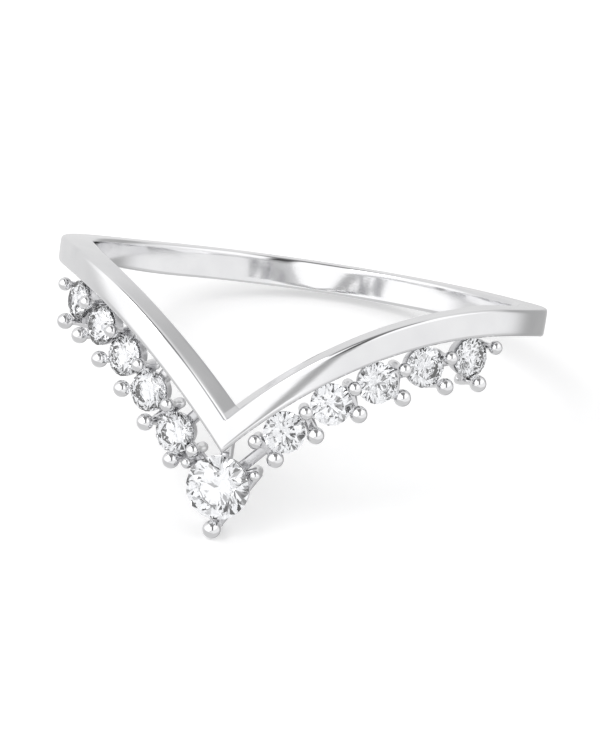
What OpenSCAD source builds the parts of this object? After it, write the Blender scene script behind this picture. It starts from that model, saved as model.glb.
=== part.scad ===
// V-shaped finger ring: a slim band whose front dips to a point, with a row of round
// stones in ball-pronged cups hanging under both legs of the V.
// Modelled as it rests: on the ball under the centre stone and on the rim at its back.
// The ring's own frame has its axis on Z, the front at -Y and z = 0 midway up the back.
// A place on the ring is [angle from the front, height] in that frame.

/* [Band] */
// Inner diameter, US size 7
inner_d = 17.3; // [15:0.1:21]
// Radial thickness of the band
band_t = 1.25; // [1.1:0.05:1.6]
// Height of the band at the back
back_h = 1.4; // [1:0.05:1.8]
// Height of the top edge above z = 0 where the legs of the V begin
side_top = 0.95; // [0.7:0.05:1.2]
// Depth of the lower edge below z = 0 where the legs of the V begin
side_low = 0.05; // [0:0.05:0.3]
// Angle from the front to where a leg of the V begins
leg_span = 65; // [60:1:70]
// How quickly a leg flattens away from the tip
leg_curve = 2.45; // [2.2:0.05:2.8]
// Depth of the V along the top edge
top_depth = 4.95; // [4.5:0.05:5.3]
// Depth of the V along the lower edge
low_depth = 5.2; // [5:0.05:5.4]
// Direction, from the front, in which a leg's edges are cut through the band
leg_cut = 18; // [10:1:25]

/* [Stones] */
// Diameter of the centre stone
centre_d = 2.3; // [1.8:0.05:2.35]
// Diameter of the side stones
side_d = 1.5; // [1.2:0.05:1.5]
// Girdle of the centre stone outside the finger hole
centre_out = 1.1; // [1.1:0.05:1.2]
// Girdle of the side stones outside the finger hole
side_out = 0.75; // [0.75:0.05:1]
// Gap between the tip of the band and the centre stone
tip_gap = 0.05; // [0.05:0.01:0.2]
// Distance from the band's lower edge to the centres of the right side stones
right_gap = 0.8; // [0.8:0.02:1.4]
// The same for the left side stone next to the centre, and for the last one
left_gap = 1.34; // [0.8:0.02:1.4]
left_end_gap = 1; // [0.8:0.02:1.4]
// Angle by which each following side stone stands farther to the right, up to the fourth
row_turn = 0.5; // [0:0.1:0.6]
// Share of its own angle from the front that a side stone faces
face = 0.87; // [0.87:0.01:1]
// Gap between a stone and its metal
stone_gap = 0.03; // [0.02:0.01:0.05]

/* [Setting] */
// Diameter of the balls on the prongs away from the band
outer_ball_d = 0.62; // [0.5:0.02:0.7]
// Diameter of the balls on the prongs next to the band
inner_ball_d = 0.52; // [0.44:0.02:0.54]
// Diameter of the ball under the centre stone
bottom_ball_d = 0.66; // [0.5:0.02:0.7]
// Diameter of the balls on the claws beside the centre stone
claw_ball_d = 0.4; // [0.3:0.02:0.46]
// Centres of the balls outside the finger hole
ball_out = 1.1; // [1.1:0.02:1.2]
// Outer balls from the line through the stones, after the first side stone
outer_off = 0.58; // [0.58:0.01:0.7]
// How much farther out each following outer ball stands
outer_step = 0.05; // [0.05:0.01:0.1]
// Inner balls of the left row from the line through its stones
left_inner_off = 0.56; // [0.56:0.01:0.62]
// Inner balls of the right row from the line through its stones
right_inner_off = 0.28; // [0.24:0.01:0.3]
// Diameter of the prongs
prong_d = 0.26; // [0.2:0.02:0.26]
// Width of the bars that join the cups, prongs and band
bar_w = 0.4; // [0.3:0.02:0.5]

/* [Hidden] */
// Angles of the side stones from the front, innermost first
STONE_ANGLES = [12.1, 20.7, 29.7, 40.1, 53.1];
STONES = len(STONE_ANGLES);
// Last side stone that stands farther to the right than the one before it
TURN_END = 4;
LEFT = -1;
RIGHT = 1;
SIDES = [LEFT, RIGHT];
function side_name(side) = side == LEFT ? "left" : "right";
function stone_name(side, i) = str(side_name(side), "_stone_", i);
$fn = 48;

METAL = "silver";
GEM = "white";

// Round brilliant: width of the table, heights of the crown, girdle and pavilion, and
// the ring of points where its lower facets end, as shares of its diameter
TABLE = 0.56;
CROWN = 0.15;
GIRDLE = 0.03;
PAVILION = 0.43;
LOWER_ENDS = 0.22;
// Facets of each kind round it
MAINS = 8;

// Cup: its rim below the girdle, widths of its rim, foot and light hole, and where the
// bars start inside its wall, as shares of the stone's diameter
CUP_TOP = 0.12;
CUP_RIM = 0.98;
CUP_FOOT = 0.8;
LIGHT_HOLE = 0.36;
CUP_WALL = 0.42;

// Angle at which the band reaches its full height at the back
BACK_ANGLE = 130;
// Flats along the edges of a leg, and of the stretch behind both legs
LEG_FLATS = 13;
BACK_FLATS = 8;
// Flats by which a leg's blank runs on past the middle
PAST = 6;
// Feet of the cups and prongs outside the finger hole
FOOT = 0.1;
// Middle of the bars outside the finger hole, and their thickness: from cup to cup,
// from prong to prong, and from cup to band
BAR_OUT = 0.35;
LINK_T = 0.34;
BRIDGE_T = 0.36;
STRUT_T = 0.5;
// Thickness of the flanks from the centre stone's claws to the bottom ball
FLANK_T = 0.3;
// Reach of the struts into the band
STRUT_REACH = 0.15;
// First prongs from the first side stones, as [outward along the ring, up]
FIRST_OUTER = [-0.19, -0.92];
FIRST_INNER = [-0.97, -0.42];
// Following prongs: how far past side stones 1 to 4 along the row
OUTER_PAST = [0.92, 0.73, 0.68, 0.63];
LEFT_INNER_PAST = [0.84, 0.76, 0.74, 0.76];
RIGHT_INNER_PAST = [1.02, 0.92, 0.96, 0.88];
// End prongs from the last stones, as [outward along the ring, up]
END_OUTER = [0.2, -0.88];
END_INNER = [0.9, 0.46];
// Claws beside the centre stone: direction above level, and distance past its rim
CLAW_ANGLE = 27;
CLAW_OFF = 0.25;
// Bottom ball below the rim of the centre stone
BOTTOM_OFF = 0.36;
// Least step from a ball to its prong
BALL_LIP = 0.05;

ri = inner_d / 2;
ro = ri + band_t;
back_z = back_h / 2;
ball_r = ri + ball_out;
// Arc on the cylinder of the balls per degree
arc = ball_r * PI / 180;

function mix(a, b, t) = a + (b - a) * t;
// Share of the V's depth at an angle: 1 at the tip and 0 where the leg begins
function leg_share(a) = abs(a) < leg_span ? pow(1 - abs(a) / leg_span, leg_curve) : 0;
// Share of the way from the side to the back, smooth at both ends
function back_share(a) =
    let (t = (abs(a) - leg_span) / (BACK_ANGLE - leg_span))
    t < 0 ? 0 : t > 1 ? 1 : (1 - cos(180 * t)) / 2;
function top_z(a) = mix(side_top, back_z, back_share(a)) - top_depth * leg_share(a);
function low_z(a) = mix(-side_low, -back_z, back_share(a)) - low_depth * leg_share(a);
function low_slope(a) = atan2(low_z(a + 0.5) - low_z(a - 0.5), arc);
// Angle at the outer face whose edge heights hold at radius r of a leg
function cut_angle(a, r) = leg_cut + asin(r / ro * sin(a - leg_cut));
// Angles that split a stretch into n flats
function split(from, to, n) = [for (i = [0 : n]) mix(from, to, i / n)];
function reversed(list) = [for (i = [len(list) - 1 : -1 : 0]) list[i]];

// Place a step along the ring and up from another
function moved(p, along, up) = [p[0] + along / arc, p[1] + up];
CENTRE = [0, low_z(0) - tip_gap - centre_d / 2];
BOTTOM = moved(CENTRE, 0, -centre_d / 2 - BOTTOM_OFF);
// Distance of side stone i from the band's lower edge
function gap(side, i) =
    side == RIGHT ? right_gap : mix(left_gap, left_end_gap, (i - 1) / (STONES - 1));
function side_place(side, i) =
    let (
        a = STONE_ANGLES[i - 1] + side * row_turn * (min(i, TURN_END) - 1),
        edge = cut_angle(a, stone_r(i))
    )
    [side * a, low_z(edge) - gap(side, i) / cos(low_slope(edge))];
function stone_place(side, i) = i == 0 ? CENTRE : side_place(side, i);
function stone_d(i) = i == 0 ? centre_d : side_d;
function stone_r(i) = ri + (i == 0 ? centre_out : side_out);
// Way from stone i to the next one outward, as [along, up]
function row_way(side, i) =
    let (p = stone_place(side, i), q = stone_place(side, i + 1))
    [(q[0] - p[0]) * arc, q[1] - p[1]];
// Place past side stone i along the row, and n across the row, away from the band
function off_row(side, i, past, n) =
    let (v = row_way(side, i), d = v / norm(v))
    moved(
        stone_place(side, i),
        past * d[0] + n * side * d[1],
        past * d[1] - n * side * d[0]
    );
function beside(side, i, off) = moved(stone_place(side, i), side * off[0], off[1]);
function outer_place(side, i) =
    i == 0 ? beside(side, 1, FIRST_OUTER)
    : i == STONES ? beside(side, STONES, END_OUTER)
    : off_row(side, i, OUTER_PAST[i - 1], outer_off + outer_step * (i - 1));
function inner_place(side, i) =
    i == 0 ? beside(side, 1, FIRST_INNER)
    : i == STONES ? beside(side, STONES, END_INNER)
    : side == LEFT ? off_row(side, i, LEFT_INNER_PAST[i - 1], -left_inner_off)
    : off_row(side, i, RIGHT_INNER_PAST[i - 1], -right_inner_off);
function claw_place(side) =
    let (d = centre_d / 2 + CLAW_OFF)
    moved(CENTRE, side * d * cos(CLAW_ANGLE), d * sin(CLAW_ANGLE));
// Point of the band above stone i, where its strut ends
function strut_place(side, i) =
    let (
        slope = i == 0 ? 0 : low_slope(abs(stone_place(side, i)[0])),
        reach = STRUT_REACH + (i == 0 ? centre_d / 2 + tip_gap + bar_w : gap(side, i))
    )
    moved(stone_place(side, i), -side * reach * sin(slope), reach * cos(slope));

// The ring rests on the plane that touches the bottom ball and the rim at its back
REACH = ro + ball_r;
DROP = -BOTTOM[1] - back_z;
rest_tilt = atan2(DROP, REACH) + asin(bottom_ball_d / 2 / norm([REACH, DROP]));
rest_lift = ro * sin(rest_tilt) + back_z * cos(rest_tilt);
// Foremost and rearmost points at rest, to centre the ring on the origin
front_y = BOTTOM[1] * sin(rest_tilt) - ball_r * cos(rest_tilt) - bottom_ball_d / 2;
back_y = ro * cos(rest_tilt) + back_z * sin(rest_tilt);

// Puts a shape at a place: its Z points out of the ring and its Y up
module at(place, r) {
    rotate([0, 0, place[0]])
        translate([0, -r, place[1]])
            rotate([90, 0, 0])
                children();
}

// The same at a stone's place, turned to where the stone faces
module facing(place, r) {
    at(place, r)
        rotate([0, (face - 1) * place[0], 0])
            children();
}

// Flat bar between two places, shortened at its ends
module bar(a, b, thick, start = 0, end = 0) {
    way = [(b[0] - a[0]) * arc, b[1] - a[1]];
    long = norm(way);
    at((a + b) / 2, ri + BAR_OUT)
        rotate([0, 0, atan2(way[1], way[0])])
            translate([start - long / 2, -bar_w / 2, -thick / 2])
                cube([long - start - end, bar_w, thick]);
}

// Right leg of the V before it is rounded, its edges cut level in one direction. It runs
// on past the middle of the ring, where it is mitred.
module leg_blank() {
    angles = split(0, leg_span, LEG_FLATS);
    top = [for (a = angles) [ro * sin(a - leg_cut), top_z(a)]];
    low = [for (a = angles) [ro * sin(a - leg_cut), low_z(a)]];
    intersection() {
        rotate([90, 0, leg_cut])
            linear_extrude(2 * ro)
                polygon([
                    top[0] + PAST * (top[0] - top[1]),
                    each top,
                    [2 * ro, top[LEG_FLATS][1]],
                    [2 * ro, low[LEG_FLATS][1]],
                    each reversed(low),
                    low[0] + PAST * (low[0] - low[1])
                ]);
        translate([0, -2 * ro, -ro])
            cube([2 * ro, 2 * ro - ro * cos(leg_span), 2 * ro]);
    }
}

// Sides and back of the band before they are rounded
module back_blank() {
    angles = split(leg_span, BACK_ANGLE, BACK_FLATS);
    rotate([90, 0, 90])
        linear_extrude(4 * ro, center = true)
            polygon([
                for (a = angles) [-ro * cos(a), top_z(a)],
                [2 * ro, back_z],
                [2 * ro, -back_z],
                for (a = reversed(angles)) [-ro * cos(a), low_z(a)]
            ]);
}

module band() {
    intersection() {
        union() {
            leg_blank();
            mirror([1, 0, 0])
                leg_blank();
            back_blank();
        }
        difference() {
            cylinder(h = 4 * ro, r = ro, center = true);
            cylinder(h = 5 * ro, r = ri, center = true);
        }
    }
}

// Room for a stone below its girdle
module seat(d) {
    translate([0, 0, -GIRDLE * d / 2 - PAVILION * d])
        cylinder(h = PAVILION * d, r1 = stone_gap, r2 = d / 2 + stone_gap);
}

// Tapered cup under a stone whose girdle is out from the finger hole, with a seat for
// the stone and a light hole behind it
module cup(d, out) {
    foot = out - FOOT;
    difference() {
        translate([0, 0, -foot])
            cylinder(h = foot - CUP_TOP * d, d1 = CUP_FOOT * d, d2 = CUP_RIM * d);
        seat(d);
        translate([0, 0, -out])
            cylinder(h = out, d = LIGHT_HOLE * d);
    }
}

// Prong with its ball
module prong(place, ball_d) {
    foot = ri + FOOT;
    at(place, foot)
        cylinder(h = ball_r - foot, d = min(prong_d, ball_d - 2 * BALL_LIP));
    at(place, ball_r)
        sphere(d = ball_d);
}

module setting() {
    centre_in = CUP_WALL * centre_d;
    side_in = CUP_WALL * side_d;
    at(CENTRE, stone_r(0))
        cup(centre_d, centre_out);
    bar(CENTRE, strut_place(RIGHT, 0), STRUT_T, centre_in);
    bar(CENTRE, BOTTOM, BRIDGE_T, centre_in);
    prong(BOTTOM, bottom_ball_d);
    for (side = SIDES) {
        bar(CENTRE, claw_place(side), BRIDGE_T, centre_in);
        prong(claw_place(side), claw_ball_d);
        difference() {
            bar(claw_place(side), BOTTOM, FLANK_T);
            at(CENTRE, stone_r(0))
                seat(centre_d);
        }
        for (i = [1 : STONES]) {
            here = stone_place(side, i);
            facing(here, stone_r(i))
                cup(side_d, side_out);
            bar(here, strut_place(side, i), STRUT_T, side_in);
            bar(stone_place(side, i - 1), here, LINK_T, i == 1 ? centre_in : side_in, side_in);
        }
        for (i = [0 : STONES]) {
            if (i < STONES)
                bar(inner_place(side, i), outer_place(side, i), BRIDGE_T);
            prong(inner_place(side, i), inner_ball_d);
            prong(outer_place(side, i), outer_ball_d);
        }
        last = stone_place(side, STONES);
        bar(last, inner_place(side, STONES), LINK_T, side_in);
        bar(last, outer_place(side, STONES), LINK_T, side_in);
    }
}

module band_and_setting() {
    color(METAL) {
        band();
        setting();
    }
}

// Round brilliant, its girdle on z = 0 and its table upward
module brilliant(d) {
    step = 180 / MAINS;
    r = d / 2;
    g = GIRDLE * r;
    table_z = g + CROWN * d;
    table_r = TABLE * r;
    // Stars and kites meet on the plane through a table corner and the girdle
    flat = cos(step);
    star_r = mix(table_r, r, 0.5) / mix(1, flat, 0.5);
    star_z = mix(table_z, g, (star_r * flat - table_r) / (r - table_r));
    // Mains and lower facets meet on the plane through the culet and the girdle
    culet_z = -g - PAVILION * d;
    low_r = LOWER_ENDS * r;
    low_top = mix(culet_z, -g, low_r * flat / r);
    function rim(radius, z, n, turn) =
        [for (k = [0 : n - 1]) [radius * cos(360 * k / n + turn), radius * sin(360 * k / n + turn), z]];
    points = concat(
        rim(table_r, table_z, MAINS, 0),
        rim(star_r, star_z, MAINS, step),
        rim(r, g, 2 * MAINS, 0),
        rim(r, -g, 2 * MAINS, 0),
        rim(low_r, low_top, MAINS, step),
        [[0, 0, culet_z]]
    );
    t = 0;
    s = MAINS;
    u = 2 * MAINS;
    v = 4 * MAINS;
    w = 6 * MAINS;
    culet = 7 * MAINS;
    faces = [
        [for (k = [MAINS - 1 : -1 : 0]) t + k],
        for (k = [0 : MAINS - 1])
            let (
                next = (k + 1) % MAINS,
                last = (k + MAINS - 1) % MAINS,
                a = 2 * k,
                b = 2 * k + 1,
                c = (2 * k + 2) % (2 * MAINS)
            )
            each [
                [t + k, t + next, s + k],
                [t + k, s + k, u + a],
                [t + k, u + a, s + last],
                [s + k, u + b, u + a],
                [s + k, u + c, u + b],
                [u + a, u + b, v + b, v + a],
                [u + b, u + c, v + c, v + b],
                [v + a, v + b, w + k],
                [v + b, v + c, w + k],
                [v + a, w + k, culet],
                [v + a, culet, w + last]
            ]
    ];
    polyhedron(points, faces);
}

module stone(side, i) {
    color(GEM)
        facing(stone_place(side, i), stone_r(i))
            brilliant(stone_d(i));
}

// Tips the ring back and lifts it onto the surface that it rests on
module resting() {
    translate([0, -(front_y + back_y) / 2, rest_lift])
        rotate([-rest_tilt, 0, 0])
            children();
}

resting() band_and_setting();
resting() stone(RIGHT, 0);  // centre_stone
for (side = SIDES, i = [1 : STONES])
    resting() stone(side, i);
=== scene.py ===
"""V-shaped finger ring with a row of round stones under both legs of the V.

The ring is made in its own frame, in millimetres (axis on Z, front at -Y, z = 0 midway up
the back), and tipped into the pose in which it rests. A place on the ring is
(angle from the front in degrees, height).
"""

import math

import bmesh
import bpy
from mathutils import Matrix, Vector

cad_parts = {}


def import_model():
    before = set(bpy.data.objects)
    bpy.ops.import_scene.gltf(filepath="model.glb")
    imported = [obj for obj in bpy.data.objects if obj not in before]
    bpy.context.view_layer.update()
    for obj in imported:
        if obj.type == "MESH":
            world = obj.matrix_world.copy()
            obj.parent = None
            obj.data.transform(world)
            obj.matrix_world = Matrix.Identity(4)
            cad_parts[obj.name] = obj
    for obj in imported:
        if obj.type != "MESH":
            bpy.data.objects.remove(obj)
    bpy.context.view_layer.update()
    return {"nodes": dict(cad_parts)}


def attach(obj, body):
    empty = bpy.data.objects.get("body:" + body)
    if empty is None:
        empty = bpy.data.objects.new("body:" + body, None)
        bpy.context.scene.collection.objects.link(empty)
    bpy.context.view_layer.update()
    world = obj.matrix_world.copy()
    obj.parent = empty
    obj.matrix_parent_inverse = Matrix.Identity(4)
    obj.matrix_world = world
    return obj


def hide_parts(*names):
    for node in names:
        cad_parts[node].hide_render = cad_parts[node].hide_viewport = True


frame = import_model()

MM = 0.001
LEFT, RIGHT = -1, 1
SIDES = (LEFT, RIGHT)

# Driving dimensions, the same as in the source of the solids, in mm and degrees

# Band: inner diameter, thickness, height at the back, and how far its edges stand above
# and below z = 0 where the legs of the V begin
INNER_D, BAND_T, BACK_H = 17.3, 1.25, 1.4
SIDE_TOP, SIDE_LOW = 0.95, 0.05
# Where the band reaches its full height at the back
BACK_ANGLE = 130
# Legs of the V: where they begin, how quickly they flatten away from the tip, the depth of
# the V along both edges, and the direction in which the edges are cut
LEG_SPAN, LEG_CURVE = 65, 2.45
TOP_DEPTH, LOW_DEPTH = 4.95, 5.2
LEG_CUT = 18

# Stones: diameters, girdles outside the finger hole, and the gaps from the centre stone to
# the band's tip and from each stone to its metal
CENTRE_D, SIDE_D = 2.3, 1.5
CENTRE_OUT, SIDE_OUT = 1.1, 0.75
TIP_GAP, STONE_GAP = 0.05, 0.03
# Side stones: angles from the front, distances from the band's lower edge, how much farther
# to the right each following one stands and up to which one, and the share of its angle
# that each faces
STONE_ANGLES = (12.1, 20.7, 29.7, 40.1, 53.1)
STONES = len(STONE_ANGLES)
RIGHT_GAP, LEFT_GAP, LEFT_END_GAP = 0.8, 1.34, 1.0
ROW_TURN, TURN_END = 0.5, 4
FACE = 0.87

# Shares of a stone's diameter: its girdle and pavilion, its cup's rim below the girdle,
# widths of the cup's rim, foot and light hole, and where the bars start inside the wall
GIRDLE, PAVILION = 0.03, 0.43
CUP_TOP, CUP_RIM, CUP_FOOT, LIGHT_HOLE, CUP_WALL = 0.12, 0.98, 0.8, 0.36, 0.42

# Balls: diameters, and their centres outside the finger hole
OUTER_BALL_D, INNER_BALL_D, BOTTOM_BALL_D, CLAW_BALL_D = 0.62, 0.52, 0.66, 0.4
BALL_OUT = 1.1
# Prongs after side stones 1 to 4: distance across and along the row from each stone
OUTER_OFF, OUTER_STEP = 0.58, 0.05
LEFT_INNER_OFF, RIGHT_INNER_OFF = 0.56, 0.28
OUTER_PAST = (0.92, 0.73, 0.68, 0.63)
LEFT_INNER_PAST, RIGHT_INNER_PAST = (0.84, 0.76, 0.74, 0.76), (1.02, 0.92, 0.96, 0.88)
# First and last prongs from the first and last stone, as (outward along the ring, up)
FIRST_OUTER, FIRST_INNER = (-0.19, -0.92), (-0.97, -0.42)
END_OUTER, END_INNER = (0.2, -0.88), (0.9, 0.46)
# Claws beside the centre stone: direction above level, and distance past its rim. Then
# the distance of the bottom ball below that rim
CLAW_ANGLE, CLAW_OFF, BOTTOM_OFF = 27, 0.25, 0.36

# Diameter of the prongs, and how far their feet and the cups' are outside the finger hole
PRONG_D, FOOT = 0.26, 0.1
# Bars: width, middle outside the finger hole, and thickness from cup to cup, from prong to
# prong, from cup to band and from claw to bottom ball
BAR_W, BAR_OUT = 0.4, 0.35
LINK_T, BRIDGE_T, STRUT_T, FLANK_T = 0.34, 0.36, 0.5, 0.3
# Reach of the struts into the band
STRUT_REACH = 0.15

# What this model adds to those dimensions, in mm

# Soft edges of the band's outer and inner face, of the bars, and of the cups' corners from
# the foot's outside over the rim to the end of the light hole
OUTER_EDGE_R, INNER_EDGE_R = 0.14, 0.17
BAR_EDGE_R = 0.13
CUP_EDGE_R = (0.06, 0.06, 0.03, 0.04, 0.05)
# Largest share of a side that a soft edge takes, on the band and elsewhere
BAND_EDGE_SHARE, EDGE_SHARE = 0.4, 0.45
# Angle from which the legs' slanting cut gives way, up to LEG_SPAN, to a level one
CUT_END = 50
# How far the band's edges draw back from its swelling outer face, and the share of its
# thickness at which that begins
CROWN, CROWN_START = 0.014, 0.6
# Feet of the prongs: how much wider they are, the inset and height of their lower edge, and
# the heights between which they turn slim
FOOT_SPREAD = 0.08
FOOT_INSET, FOOT_EDGE = 0.03, 0.04
FOOT_START, FOOT_RISE = 0.15, 0.6
# Necks of the prongs: how much wider they are where the ball begins, and the way there, as
# (how much wider, how far below the ball)
NECK = 0.015
NECK_FLARE = ((0, 0.1), (0.003, 0.05), (0.008, 0.02))

# Fineness of the meshes: steps along soft edges, flats, feet and balls, segments round cups
# and prongs, and degrees between the band's sections near the front and behind FINE_END
EDGE_STEPS, FLAT_STEPS, FOOT_STEPS, BALL_STEPS = 5, 8, 8, 22
CUP_SEGMENTS, PRONG_SEGMENTS = 64, 40
FINE_STEP, FINE_END = 0.5, 30
# Angles between faces from which their edge is shaded sharp
SHARP, PRONG_SHARP = 35, 60

RI = INNER_D / 2
RO = RI + BAND_T
BACK_Z = BACK_H / 2
BALL_R = RI + BALL_OUT
# Arc on the cylinder of the balls per degree
ARC = math.radians(BALL_R)


def sin(a): return math.sin(math.radians(a))
def cos(a): return math.cos(math.radians(a))
def mix(a, b, t): return a + (b - a) * t


def smooth(x, low, high):
    t = min(max((x - low) / (high - low), 0), 1)
    return t * t * (3 - 2 * t)


# The V

def leg_share(a):
    """Share of the V's depth at an angle: 1 at the tip and 0 where the leg begins."""
    return (1 - abs(a) / LEG_SPAN) ** LEG_CURVE if abs(a) < LEG_SPAN else 0.0


def back_share(a):
    """Share of the way from the side to the back, smooth at both ends."""
    t = min(max((abs(a) - LEG_SPAN) / (BACK_ANGLE - LEG_SPAN), 0), 1)
    return (1 - math.cos(math.pi * t)) / 2


def top_z(a): return mix(SIDE_TOP, BACK_Z, back_share(a)) - TOP_DEPTH * leg_share(a)
def low_z(a): return mix(-SIDE_LOW, -BACK_Z, back_share(a)) - LOW_DEPTH * leg_share(a)


def low_slope(a):
    return math.degrees(math.atan2(low_z(a + 0.5) - low_z(a - 0.5), ARC))


def cut_angle(a, r):
    """Angle at the outer face whose edge heights hold at radius r of a leg."""
    return LEG_CUT + math.degrees(math.asin(r / RO * sin(a - LEG_CUT)))


# Places of the stones and balls. Stone 0 of a row is the centre stone.

def moved(p, along, up): return (p[0] + along / ARC, p[1] + up)


CENTRE = (0, low_z(0) - TIP_GAP - CENTRE_D / 2)
BOTTOM = moved(CENTRE, 0, -CENTRE_D / 2 - BOTTOM_OFF)


def gap(side, i):
    return RIGHT_GAP if side == RIGHT else mix(LEFT_GAP, LEFT_END_GAP, (i - 1) / (STONES - 1))


def stone_place(side, i):
    if i == 0:
        return CENTRE
    a = STONE_ANGLES[i - 1] + side * ROW_TURN * (min(i, TURN_END) - 1)
    edge = cut_angle(a, RI + SIDE_OUT)
    return (side * a, low_z(edge) - gap(side, i) / cos(low_slope(edge)))


def off_row(side, i, past, n):
    """Place past side stone i along the row, and n across the row, away from the band."""
    p, q = stone_place(side, i), stone_place(side, i + 1)
    d = Vector(((q[0] - p[0]) * ARC, q[1] - p[1])).normalized()
    return moved(p, past * d[0] + n * side * d[1], past * d[1] - n * side * d[0])


def beside(side, i, off): return moved(stone_place(side, i), side * off[0], off[1])


def outer_place(side, i):
    if i == 0:
        return beside(side, 1, FIRST_OUTER)
    if i == STONES:
        return beside(side, STONES, END_OUTER)
    return off_row(side, i, OUTER_PAST[i - 1], OUTER_OFF + OUTER_STEP * (i - 1))


def inner_place(side, i):
    if i == 0:
        return beside(side, 1, FIRST_INNER)
    if i == STONES:
        return beside(side, STONES, END_INNER)
    if side == LEFT:
        return off_row(side, i, LEFT_INNER_PAST[i - 1], -LEFT_INNER_OFF)
    return off_row(side, i, RIGHT_INNER_PAST[i - 1], -RIGHT_INNER_OFF)


def claw_place(side):
    d = CENTRE_D / 2 + CLAW_OFF
    return moved(CENTRE, side * d * cos(CLAW_ANGLE), d * sin(CLAW_ANGLE))


def strut_place(side, i):
    """Point of the band above stone i, where its strut ends."""
    here = stone_place(side, i)
    slope = 0 if i == 0 else low_slope(abs(here[0]))
    reach = STRUT_REACH + (CENTRE_D / 2 + TIP_GAP + BAR_W if i == 0 else gap(side, i))
    return moved(here, -side * reach * sin(slope), reach * cos(slope))


# The pose at rest: on the bottom ball and on the rim at the back

REACH, DROP = RO + BALL_R, -BOTTOM[1] - BACK_Z
TILT = math.atan2(DROP, REACH) + math.asin(BOTTOM_BALL_D / 2 / math.hypot(REACH, DROP))
LIFT = RO * math.sin(TILT) + BACK_Z * math.cos(TILT)
# Foremost and rearmost points at rest, to centre the ring on the origin
FRONT_Y = BOTTOM[1] * math.sin(TILT) - BALL_R * math.cos(TILT) - BOTTOM_BALL_D / 2
BACK_Y = RO * math.cos(TILT) + BACK_Z * math.sin(TILT)
SHIFT = -(FRONT_Y + BACK_Y) / 2
REST = Matrix.Translation((0, SHIFT * MM, LIFT * MM)) @ Matrix.Rotation(-TILT, 4, "X")
# From mm in the ring's frame to metres at rest
TO_ROW = REST @ Matrix.Scale(MM, 4)


def ring_point(a, r, z): return Vector((r * sin(a), -r * cos(a), z))


def at(place, r):
    """Frame at a place on the ring: X along the ring, Y up, Z outward."""
    turn = Matrix.Rotation(math.radians(place[0]), 4, "Z")
    return turn @ Matrix.Translation((0, -r, place[1])) @ Matrix.Rotation(math.pi / 2, 4, "X")


def facing(place, r):
    """The same frame, turned to where a stone at that place faces."""
    return at(place, r) @ Matrix.Rotation(math.radians((FACE - 1) * place[0]), 4, "Y")


# Mesh helpers

def link(name, data):
    o = bpy.data.objects.new(name, data)
    bpy.context.scene.collection.objects.link(o)
    return o


def mesh_of(name, bm):
    mesh = bpy.data.meshes.new(name)
    bm.to_mesh(mesh)
    bm.free()
    return mesh


def piece(name, bm, sharp):
    """Makes an object of a mesh in the ring's frame, tipped into the resting pose."""
    bmesh.ops.transform(bm, matrix=TO_ROW, verts=bm.verts)
    bmesh.ops.recalc_face_normals(bm, faces=bm.faces)
    mesh = mesh_of(name, bm)
    mesh.polygons.foreach_set("use_smooth", [True] * len(mesh.polygons))
    mesh.set_sharp_from_angle(angle=math.radians(sharp))
    o = link(name, mesh)
    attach(o, "root")
    return o


def lathe(bm, profile, matrix, segments):
    """Turns a profile of (radius, height) round Z. Radius 0 makes a pole."""
    rings = []
    for radius, height in profile:
        turns = range(segments) if radius else range(1)
        rings.append([
            bm.verts.new(matrix @ Vector((
                radius * math.cos(2 * math.pi * k / segments),
                radius * math.sin(2 * math.pi * k / segments), height)))
            for k in turns])
    for low, high in zip(rings, rings[1:]):
        for k in range(segments):
            n = (k + 1) % segments
            if len(low) == 1:
                bm.faces.new((low[0], high[n], high[k]))
            elif len(high) == 1:
                bm.faces.new((low[k], low[n], high[0]))
            else:
                bm.faces.new((low[k], low[n], high[n], high[k]))


def soft_edge(start, corner, end):
    """Points of a curve from start to end that rounds off the corner between them."""
    out = []
    for s in range(EDGE_STEPS + 1):
        t = s / EDGE_STEPS
        out.append(start * (1 - t) ** 2 + corner * (2 * t * (1 - t)) + end * t ** 2)
    return out


def towards(p, q, length, share):
    """Point at a length from p on the way to q, or at a share of the way if that is less."""
    way = q - p
    return p + way.normalized() * min(length, way.length * share)


def rounded(points, radii):
    """Rounds the corners of a closed profile."""
    points = [Vector(p) for p in points]
    out = []
    for k, (p, radius) in enumerate(zip(points, radii)):
        before, after = points[k - 1], points[(k + 1) % len(points)]
        cut = min(radius, (before - p).length * EDGE_SHARE, (after - p).length * EDGE_SHARE)
        start, end = p + (before - p).normalized() * cut, p + (after - p).normalized() * cut
        out += soft_edge(start, p, end)
    return out


# Band

def edge_angle(a, r):
    """Angle at the outer face whose edge heights hold at radius r, all round the band."""
    s = abs(a)
    return s + (cut_angle(s, r) - s) * (1 - smooth(s, CUT_END, LEG_SPAN))


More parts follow.
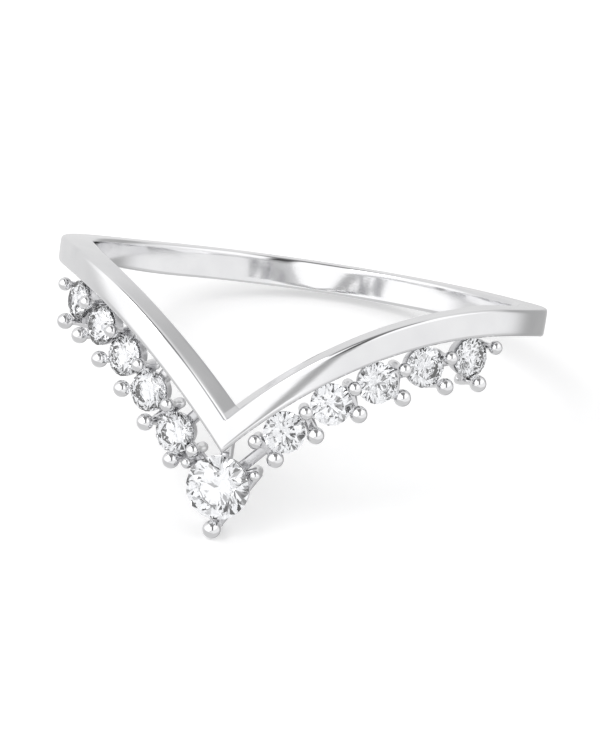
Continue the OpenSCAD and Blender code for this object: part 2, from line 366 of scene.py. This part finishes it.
def band_section(a):
    """Closed section of the band at an angle, as points of (radius, height)."""
    rise = (top_z(abs(a) + FINE_STEP) - top_z(abs(a))) / FINE_STEP
    slope = math.cos(math.atan(rise / math.radians(RO)))
    corners, edges = [], []
    for r, height, edge in (
        (RO, top_z, OUTER_EDGE_R), (RI, top_z, INNER_EDGE_R),
        (RI, low_z, INNER_EDGE_R), (RO, low_z, OUTER_EDGE_R),
    ):
        corners.append(Vector((r, height(edge_angle(a, r)))))
        # What the soft edge takes of the side across the band and of the side along its height
        edges.append((edge, edge / slope))
    n = len(corners)
    out = []
    for k, c in enumerate(corners):
        before, after = (k - 1) % n, (k + 1) % n
        # Sides 0 and 2 run across the band, 1 and 3 along its height
        upright = k % 2
        start = towards(c, corners[before], edges[k][1 - upright], BAND_EDGE_SHARE)
        end = towards(c, corners[after], edges[k][upright], BAND_EDGE_SHARE)
        out += soft_edge(start, c, end)
        far = towards(corners[after], c, edges[after][upright], BAND_EDGE_SHARE)
        out += [end.lerp(far, s / FLAT_STEPS) for s in range(1, FLAT_STEPS)]
    # Swell the outer face
    low, high = corners[3][1], corners[0][1]
    for v in out:
        share = 2 * (v[1] - low) / (high - low) - 1
        v[0] -= CROWN * min(share * share, 1) * smooth(v[0], RI + CROWN_START * BAND_T, RO)
    return out


def band():
    bm = bmesh.new()
    uv = bm.loops.layers.uv.new("along")
    half = [k * FINE_STEP for k in range(int(FINE_END / FINE_STEP))]
    half += range(FINE_END, 180)
    angles = [-a for a in reversed(half[1:])] + half + [180]
    sections = [[bm.verts.new(ring_point(a, *p)) for p in band_section(a)] for a in angles]
    # Distance round the section at the side, for the scratches along the band
    side = band_section(90)
    count = len(side)
    around = [0.0]
    for k in range(count):
        around.append(around[-1] + (side[(k + 1) % count] - side[k]).length)
    # The section at 180 degrees is followed by the first one, at -179
    following, ends = sections[1:] + sections[:1], angles[1:] + [181]
    for one, two, a, b in zip(sections, following, angles, ends):
        for k in range(count):
            m = (k + 1) % count
            face = bm.faces.new((one[k], two[k], two[m], one[m]))
            for loop, (turn, v) in zip(face.loops, ((a, k), (b, k), (b, k + 1), (a, k + 1))):
                loop[uv].uv = (math.radians(turn) * RO, around[v])
    return piece("band", bm, SHARP)


# Setting

def cup(bm, place, d, out):
    """Tapered cup with a seat for the stone, a rounded rim and a light hole."""
    foot, rim = FOOT - out, -CUP_TOP * d
    # The seat is a cone, as wide as the stone with its gap at the girdle
    seat_foot = -(GIRDLE / 2 + PAVILION) * d
    seat_r = STONE_GAP + (rim - seat_foot) / (2 * PAVILION)
    hole = LIGHT_HOLE * d / 2
    hole_z = seat_foot + (hole - STONE_GAP) * 2 * PAVILION
    profile = rounded([
        (CUP_FOOT * d / 2, foot), (CUP_RIM * d / 2, rim), (seat_r, rim),
        (hole, hole_z), (hole, foot),
    ], CUP_EDGE_R)
    lathe(bm, profile + [profile[0]], facing(place, RI + out), CUP_SEGMENTS)


def bar(bm, a, b, thick, start=0.0, end=0.0):
    """Bar with rounded edges between two places, shortened at its ends."""
    way = Vector(((b[0] - a[0]) * ARC, b[1] - a[1]))
    middle = ((a[0] + b[0]) / 2, (a[1] + b[1]) / 2)
    matrix = at(middle, RI + BAR_OUT) @ Matrix.Rotation(math.atan2(way[1], way[0]), 4, "Z")
    w, h = BAR_W / 2, thick / 2
    section = rounded([(-w, -h), (w, -h), (w, h), (-w, h)], [BAR_EDGE_R] * 4)
    one, two = (
        [bm.verts.new(matrix @ Vector((x, y, z))) for y, z in section]
        for x in (start - way.length / 2, way.length / 2 - end))
    for k in range(len(section)):
        m = (k + 1) % len(section)
        bm.faces.new((one[k], one[m], two[m], two[k]))
    bm.faces.new(one)
    bm.faces.new(two[::-1])


def cups():
    bm = bmesh.new()
    centre_in, side_in = CUP_WALL * CENTRE_D, CUP_WALL * SIDE_D
    cup(bm, CENTRE, CENTRE_D, CENTRE_OUT)
    bar(bm, CENTRE, strut_place(RIGHT, 0), STRUT_T, centre_in)
    bar(bm, CENTRE, BOTTOM, BRIDGE_T, centre_in)
    for side in SIDES:
        bar(bm, CENTRE, claw_place(side), BRIDGE_T, centre_in)
        bar(bm, claw_place(side), BOTTOM, FLANK_T)
        for i in range(1, STONES + 1):
            here = stone_place(side, i)
            cup(bm, here, SIDE_D, SIDE_OUT)
            bar(bm, here, strut_place(side, i), STRUT_T, side_in)
            before_in = centre_in if i == 1 else side_in
            bar(bm, stone_place(side, i - 1), here, LINK_T, before_in, side_in)
        for i in range(STONES):
            bar(bm, inner_place(side, i), outer_place(side, i), BRIDGE_T)
        last = stone_place(side, STONES)
        bar(bm, last, inner_place(side, STONES), LINK_T, side_in)
        bar(bm, last, outer_place(side, STONES), LINK_T, side_in)
    return piece("cups", bm, SHARP)


def prong(bm, place, ball_d, spread=FOOT_SPREAD):
    """Prong with a spread foot that flares softly into its ball."""
    foot, stem, r = RI + FOOT - BALL_R, PRONG_D / 2, ball_d / 2
    profile = [(0, foot), (stem + spread - FOOT_INSET, foot), (stem + spread, foot + FOOT_EDGE)]
    for s in range(FOOT_STEPS + 1):
        t = s / FOOT_STEPS
        wide = stem + spread * (1 - smooth(t, 0, 1))
        profile.append((wide, foot + mix(FOOT_START, FOOT_RISE, t)))
    neck = math.asin((stem + NECK) / r)
    low = -r * math.cos(neck)
    profile += [(stem + wider, low - below) for wider, below in NECK_FLARE]
    for s in range(BALL_STEPS):
        t = mix(neck, math.pi, s / BALL_STEPS)
        profile.append((r * math.sin(t), -r * math.cos(t)))
    profile.append((0, r))
    lathe(bm, profile, at(place, BALL_R), PRONG_SEGMENTS)


def prongs():
    bm = bmesh.new()
    # This prong's foot is the lowest point of the ring at rest, so it isn't spread
    prong(bm, BOTTOM, BOTTOM_BALL_D, 0)
    for side in SIDES:
        prong(bm, claw_place(side), CLAW_BALL_D)
        for i in range(STONES + 1):
            prong(bm, inner_place(side, i), INNER_BALL_D)
            prong(bm, outer_place(side, i), OUTER_BALL_D)
    return piece("prongs", bm, PRONG_SHARP)


# Materials

# Clouds of tone on the metal: how many per metre, fineness, and the part of the noise over
# which the tone changes
CLOUD_SCALE, CLOUD_DETAIL, CLOUD_SPAN = 700, 3, (0.35, 0.65)
# Scratches: fineness and sharpness, the part of the noise over which the roughness changes,
# how many per mm along and across the band, and per metre each way on the other metal, and
# their depth
SCRATCH_DETAIL, SCRATCH_SHARP, SCRATCH_SPAN = 6, 0.7, (0.3, 0.75)
BAND_GRAIN, CAST_GRAIN = (1.2, 26, 1), (9000, 9000, 9000)
SCRATCH_DEPTH = 0.004 * MM
# Stones: refraction, how rough their uneven polish gets, and how often it changes per metre
STONE_IOR, POLISH_ROUGH, POLISH_SCALE = 2.4, 0.03, 3000


def material(name):
    m = bpy.data.materials.new(name)
    m.use_nodes = True
    nodes = m.node_tree.nodes
    nodes.clear()
    out = nodes.new("ShaderNodeOutputMaterial")
    bsdf = nodes.new("ShaderNodeBsdfPrincipled")
    m.node_tree.links.new(bsdf.outputs[0], out.inputs[0])
    return m, nodes, m.node_tree.links, bsdf


def noise(nodes, scale, detail=2.0, roughness=0.5):
    n = nodes.new("ShaderNodeTexNoise")
    for key, v in (("Scale", scale), ("Detail", detail), ("Roughness", roughness)):
        n.inputs[key].default_value = v
    return n


def metal(name, dark, light, smoothest, roughest, scratch, grain, uv=None):
    """Polished white metal: soft changes of tone and fine scratches, along a UV map or in
    every direction."""
    m, nodes, links, bsdf = material(name)
    bsdf.inputs["Metallic"].default_value = 1
    where = nodes.new("ShaderNodeTexCoord")
    cloud = noise(nodes, CLOUD_SCALE, CLOUD_DETAIL)
    links.new(where.outputs["Object"], cloud.inputs["Vector"])
    tone = nodes.new("ShaderNodeValToRGB")
    for stop, place, colour in zip(tone.color_ramp.elements, CLOUD_SPAN, (dark, light)):
        stop.position, stop.color = place, (*colour, 1)
    links.new(cloud.outputs["Fac"], tone.inputs["Fac"])
    links.new(tone.outputs["Color"], bsdf.inputs["Base Color"])
    way = where.outputs["Object"]
    if uv:
        lines = nodes.new("ShaderNodeUVMap")
        lines.uv_map = uv
        way = lines.outputs[0]
    stretch = nodes.new("ShaderNodeMapping")
    stretch.inputs["Scale"].default_value = grain
    links.new(way, stretch.inputs["Vector"])
    fine = noise(nodes, 1, SCRATCH_DETAIL, SCRATCH_SHARP)
    links.new(stretch.outputs[0], fine.inputs["Vector"])
    rough = nodes.new("ShaderNodeMapRange")
    span = (*SCRATCH_SPAN, smoothest, roughest)
    for key, v in zip(("From Min", "From Max", "To Min", "To Max"), span):
        rough.inputs[key].default_value = v
    links.new(fine.outputs["Fac"], rough.inputs["Value"])
    links.new(rough.outputs[0], bsdf.inputs["Roughness"])
    bump = nodes.new("ShaderNodeBump")
    bump.inputs["Strength"].default_value = scratch
    bump.inputs["Distance"].default_value = SCRATCH_DEPTH
    links.new(fine.outputs["Fac"], bump.inputs["Height"])
    links.new(bump.outputs[0], bsdf.inputs["Normal"])
    return m


def gem(name, tint):
    """Clear cut stone, with the faint uneven polish of its facets."""
    m, nodes, links, bsdf = material(name)
    bsdf.inputs["Base Color"].default_value = (*tint, 1)
    bsdf.inputs["Transmission Weight"].default_value = 1
    bsdf.inputs["IOR"].default_value = STONE_IOR
    where = nodes.new("ShaderNodeTexCoord")
    polish = noise(nodes, POLISH_SCALE)
    links.new(where.outputs["Object"], polish.inputs["Vector"])
    rough = nodes.new("ShaderNodeMapRange")
    rough.inputs["To Max"].default_value = POLISH_ROUGH
    links.new(polish.outputs["Fac"], rough.inputs["Value"])
    links.new(rough.outputs[0], bsdf.inputs["Roughness"])
    return m


# Metals: darkest and lightest tone, least and most roughness, strength of the scratches
polished = metal(
    "polished_band", (0.83, 0.83, 0.84), (0.88, 0.88, 0.885), 0.06, 0.13, 0.06,
    BAND_GRAIN, "along")
beads = metal(
    "polished_beads", (0.84, 0.84, 0.85), (0.89, 0.89, 0.895), 0.04, 0.1, 0.1, CAST_GRAIN)
# Setting: its darker tone is painted shade of the recesses among the stones; its greater
# roughness and deeper scratches are its own
setting_with_painted_shade = metal(
    "setting_metal_painted_shade", (0.62, 0.62, 0.635), (0.8, 0.8, 0.81), 0.14, 0.32, 0.5, CAST_GRAIN)
clear = gem("clear_stone", (0.97, 0.98, 1.0))

for o, m in ((band(), polished), (cups(), setting_with_painted_shade), (prongs(), beads)):
    o.data.materials.append(m)
    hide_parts("band_and_setting")

for name, o in frame["nodes"].items():
    if "stone" in name:
        o.data.materials.clear()
        o.data.materials.append(clear)


# Camera: fitted to the photograph, in the ring's frame

PHOTO_W, PHOTO_H = 600, 750
# Distance in mm, azimuth, elevation and roll in radians
CAM_D, CAM_AZ, CAM_EL, CAM_ROLL = 60.0, 0.194, 0.141, 0.146
# Pixels per mm at the ring's centre, and the pixel where that centre stands
CAM_SCALE, CAM_X, CAM_Y = 24.473, 302.223, 291.062
# Width of the sensor in mm, and from where to where the camera sees, in metres
SENSOR_W, CLIP_NEAR, CLIP_FAR = 36, 0.001, 10


def camera():
    flat = math.cos(CAM_EL)
    back = Vector((math.sin(CAM_AZ) * flat, -math.cos(CAM_AZ) * flat, math.sin(CAM_EL)))
    level = Vector((math.cos(CAM_AZ), math.sin(CAM_AZ), 0))
    rise = back.cross(level)
    right = level * math.cos(CAM_ROLL) + rise * math.sin(CAM_ROLL)
    up = rise * math.cos(CAM_ROLL) - level * math.sin(CAM_ROLL)
    # The ring's own centre isn't in the middle of the photograph
    aside = (CAM_X - PHOTO_W / 2) / CAM_SCALE
    above = (PHOTO_H / 2 - CAM_Y) / CAM_SCALE
    turn = REST.to_3x3()
    m = Matrix((turn @ right, turn @ up, turn @ back)).transposed().to_4x4()
    m.translation = TO_ROW @ (back * CAM_D - right * aside - up * above)
    data = bpy.data.cameras.new("camera")
    data.sensor_fit = "HORIZONTAL"
    data.sensor_width = SENSOR_W
    data.lens = SENSOR_W * CAM_SCALE * CAM_D / PHOTO_W
    data.clip_start, data.clip_end = CLIP_NEAR, CLIP_FAR
    o = link("camera", data)
    o.matrix_world = m
    bpy.context.scene.camera = o


camera()


# Studio

# Floor: half its width in metres, its tone, and its own light, so that the ring casts
# hardly any shadow
FLOOR_HALF, FLOOR_TONE, FLOOR_ROUGH, FLOOR_LIGHT = 0.6, 0.95, 0.7, 0.25
# Soft light: place, what it points at, width and power
KEY_PLACE, KEY_TARGET, KEY_D, KEY_POWER = (-0.09, -0.07, 0.16), (0, 0, 0.003), 0.10, 0.05


def floor():
    bm = bmesh.new()
    bmesh.ops.create_grid(bm, x_segments=8, y_segments=8, size=FLOOR_HALF)
    o = link("floor", mesh_of("floor", bm))
    m, _, _, bsdf = material("floor_white")
    bsdf.inputs["Base Color"].default_value = (FLOOR_TONE, FLOOR_TONE, FLOOR_TONE, 1)
    bsdf.inputs["Roughness"].default_value = FLOOR_ROUGH
    bsdf.inputs["Emission Color"].default_value = (1, 1, 1, 1)
    bsdf.inputs["Emission Strength"].default_value = FLOOR_LIGHT
    o.data.materials.append(m)
    # The metal mirrors the studio, not the table
    o.visible_glossy = False


def key_light():
    data = bpy.data.lights.new("key", "AREA")
    data.shape = "DISK"
    data.size = KEY_D
    data.energy = KEY_POWER
    o = link("key", data)
    o.location = KEY_PLACE
    way = Vector(KEY_TARGET) - Vector(KEY_PLACE)
    o.rotation_euler = way.to_track_quat("-Z", "Y").to_euler()


# Brightness of the studio: in front at the left, in front at the right, below, behind at
# the right, at the left and high up, straight above, and in the gap low down and high up
LEFT_TONE, RIGHT_TONE, LOW_TONE = 1.2, 0.95, 0.68
BACK_TONE, BACK_LEFT_TONE, BACK_HIGH_TONE = 0.45, 0.78, 0.8
TOP_TONE = 0.25
GAP_LOW_TONE, GAP_HIGH_TONE = 0.45, 0.08
TINT = (1.0, 1.0, 1.005)
# Where one brightness turns into the next. Heights, from -1 below to 1 above:
LEFT_RISE, RIGHT_RISE, RIGHT_LOW_RISE = (-0.16, 0.0), (0.25, 0.45), (-0.5, -0.25)
BACK_RISE, TOP_RISE = (0.15, 0.45), (0.84, 0.95)
GAP_FOOT_RISE, GAP_RISE = (0.0, 0.08), (0.3, 0.42)
# across the back, from -1 at the left to 1 at the right:
BACK_ACROSS = (0.26, -0.16)
# and degrees from the front to the right: from left to right, and to the back on both sides
RIGHT_TURN, BACK_TURN_LEFT, BACK_TURN_RIGHT = (5, 45), (-80, -110), (115, 140)
# The gap's azimuth from the front, the heights where it stands there and where it turns
# upright, how much it leans, from where to where it fades across, and where it ends behind
GAP_TURN, GAP_MIDDLE, GAP_UPRIGHT, GAP_LEAN = 18.5, 0.208, 0.28, 2.4
GAP_FADE, GAP_AHEAD = (0.19, 0.07), (-0.35, -0.1)


def world():
    """The studio as the ring sees it: white in front, a dark gap between two soft boxes,
    grey behind and below, dark straight above."""
    w = bpy.data.worlds.new("studio")
    bpy.context.scene.world = w
    w.use_nodes = True
    nodes, links = w.node_tree.nodes, w.node_tree.links
    nodes.clear()
    out = nodes.new("ShaderNodeOutputWorld")
    light = nodes.new("ShaderNodeBackground")
    links.new(light.outputs[0], out.inputs[0])
    where = nodes.new("ShaderNodeTexCoord")
    split = nodes.new("ShaderNodeSeparateXYZ")
    links.new(where.outputs["Generated"], split.inputs[0])
    x, y, z = split.outputs

    def put(socket, value):
        if isinstance(value, (int, float)):
            socket.default_value = value
        else:
            links.new(value, socket)

    def calc(kind, a, b=0.0):
        n = nodes.new("ShaderNodeMath")
        n.operation = kind
        put(n.inputs[0], a)
        put(n.inputs[1], b)
        return n.outputs[0]

    def ease(value, span, start=0.0, end=1.0):
        """Goes smoothly from start to end while the value crosses the span."""
        n = nodes.new("ShaderNodeMapRange")
        n.interpolation_type = "SMOOTHSTEP"
        put(n.inputs["Value"], value)
        for key, v in zip(("From Min", "From Max", "To Min", "To Max"), (*span, start, end)):
            put(n.inputs[key], v)
        return n.outputs[0]

    def blend(a, b, share):
        """Value a where share is 0 and b where it is 1."""
        rest = calc("MULTIPLY", a, calc("SUBTRACT", 1.0, share))
        return calc("ADD", rest, calc("MULTIPLY", b, share))

    turn = calc("MULTIPLY", calc("ARCTAN2", x, calc("MULTIPLY", y, -1.0)), 180 / math.pi)
    left = ease(z, LEFT_RISE, LOW_TONE, LEFT_TONE)
    right = ease(z, RIGHT_RISE, RIGHT_TONE, LEFT_TONE)
    right = calc("MULTIPLY", right, ease(z, RIGHT_LOW_RISE, LOW_TONE / RIGHT_TONE, 1.0))
    level = ease(x, BACK_ACROSS, BACK_TONE, BACK_LEFT_TONE)
    behind = blend(level, BACK_HIGH_TONE, ease(z, BACK_RISE))
    front = blend(left, right, ease(turn, RIGHT_TURN))
    rear = calc("MAXIMUM", ease(turn, BACK_TURN_LEFT), ease(turn, BACK_TURN_RIGHT))
    tone = blend(front, behind, rear)
    # The gap: leaning near the horizon, upright above it
    a = math.radians(GAP_TURN)
    across = calc("ADD", calc("MULTIPLY", x, math.cos(a)), calc("MULTIPLY", y, math.sin(a)))
    ahead = calc("ADD", calc("MULTIPLY", x, math.sin(a)), calc("MULTIPLY", y, -math.cos(a)))
    lean = calc("SUBTRACT", calc("MINIMUM", z, GAP_UPRIGHT), GAP_MIDDLE)
    lean = calc("MULTIPLY", lean, GAP_LEAN)
    off = calc("ABSOLUTE", calc("SUBTRACT", across, lean))
    gap_share = calc("MULTIPLY", ease(off, GAP_FADE), ease(z, GAP_FOOT_RISE))
    gap_share = calc("MULTIPLY", gap_share, ease(ahead, GAP_AHEAD))
    tone = blend(tone, ease(z, GAP_RISE, GAP_LOW_TONE, GAP_HIGH_TONE), gap_share)
    # Dark overhead, seen as a thin line in the band's upper edges
    tone = blend(tone, TOP_TONE, ease(z, TOP_RISE))
    colour = nodes.new("ShaderNodeCombineXYZ")
    for k, tint in enumerate(TINT):
        put(colour.inputs[k], calc("MULTIPLY", tone, tint))
    links.new(colour.outputs[0], light.inputs["Color"])


floor()
key_light()
world()

view = bpy.context.scene.view_settings
view.view_transform = "Standard"
view.look = "None"
